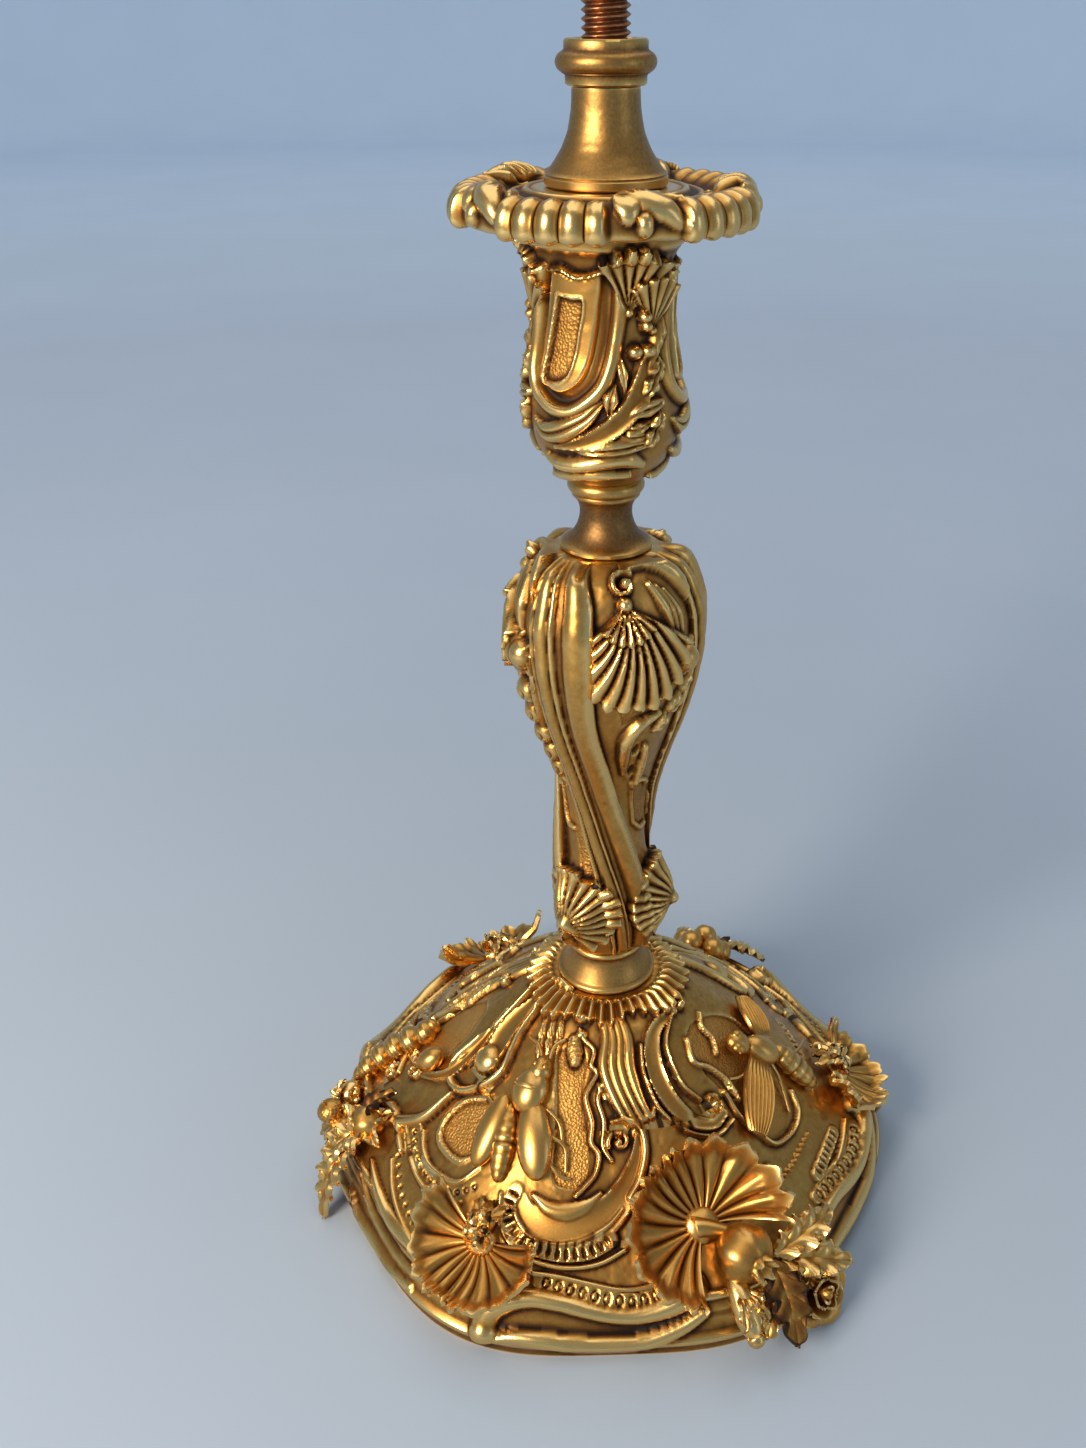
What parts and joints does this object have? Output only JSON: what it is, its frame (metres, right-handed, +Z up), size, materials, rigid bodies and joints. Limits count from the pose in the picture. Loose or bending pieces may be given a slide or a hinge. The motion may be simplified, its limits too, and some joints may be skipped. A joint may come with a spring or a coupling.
{
  "type": "candlestick",
  "caption": "Rococo gilt bronze candlestick with domed shell and fruit base, twisted baluster stem, panelled cup and drip pan, on a threaded rod with a cone cap.",
  "frame": {"origin": "middle of the base, on the plane it stands on", "axes": "+Z up along the stem, -Y towards the viewer of the picture, +X to the right"},
  "size_m": [0.1882, 0.1852, 0.35],
  "materials": {
    "gilt_bronze": "antique gilt bronze casting, polished high spots, brown in the recesses",
    "turned_brass": "turned and brushed brass, lightly pitted and tarnished",
    "rod_metal": "dull coppery brown threaded rod",
    "plated_fixings": "dull plated steel"
  },
  "bodies": {
    "stand": {"threaded_rod": "rod_metal", "cone_cap": "turned_brass", "neck_collar": "turned_brass", "base_collar": "turned_brass", "nozzle_sleeve": "turned_brass", "base_washer": "plated_fixings", "base_nut": "plated_fixings", "bobeche": "gilt_bronze", "candle_cup": "gilt_bronze", "stem_casting": "gilt_bronze", "fan_shell": "gilt_bronze", "fan_shell_nut": "plated_fixings", "pomegranate": "gilt_bronze", "rose": "gilt_bronze", "front_leaf_spray": "gilt_bronze", "round_fruit": "gilt_bronze", "round_fruit_nut": "plated_fixings", "acorn": "gilt_bronze", "hazelnut": "gilt_bronze", "left_leaf_spray": "gilt_bronze", "berry_bunch": "gilt_bronze", "berry_bunch_nut": "plated_fixings", "back_leaf_spray": "gilt_bronze", "side_shell_1": "gilt_bronze", "side_shell_nut_1": "plated_fixings", "side_shell_2": "gilt_bronze", "side_shell_nut_2": "plated_fixings", "side_shell_3": "gilt_bronze", "side_shell_nut_3": "plated_fixings", "beetle": "gilt_bronze", "beetle_nut": "plated_fixings", "fly": "gilt_bronze", "fly_nut": "plated_fixings", "larva": "gilt_bronze", "larva_nut": "plated_fixings", "base_shell": "gilt_bronze"},
    "collar": {"locking_collar": "turned_brass"}
  },
  "joints": [
    {"name": "collar_turn", "type": "hinge", "parent": "stand", "child": "collar", "pos_m": [0, 0, 0.327], "axis": [0, 0, 1], "continuous": true}
  ]
}
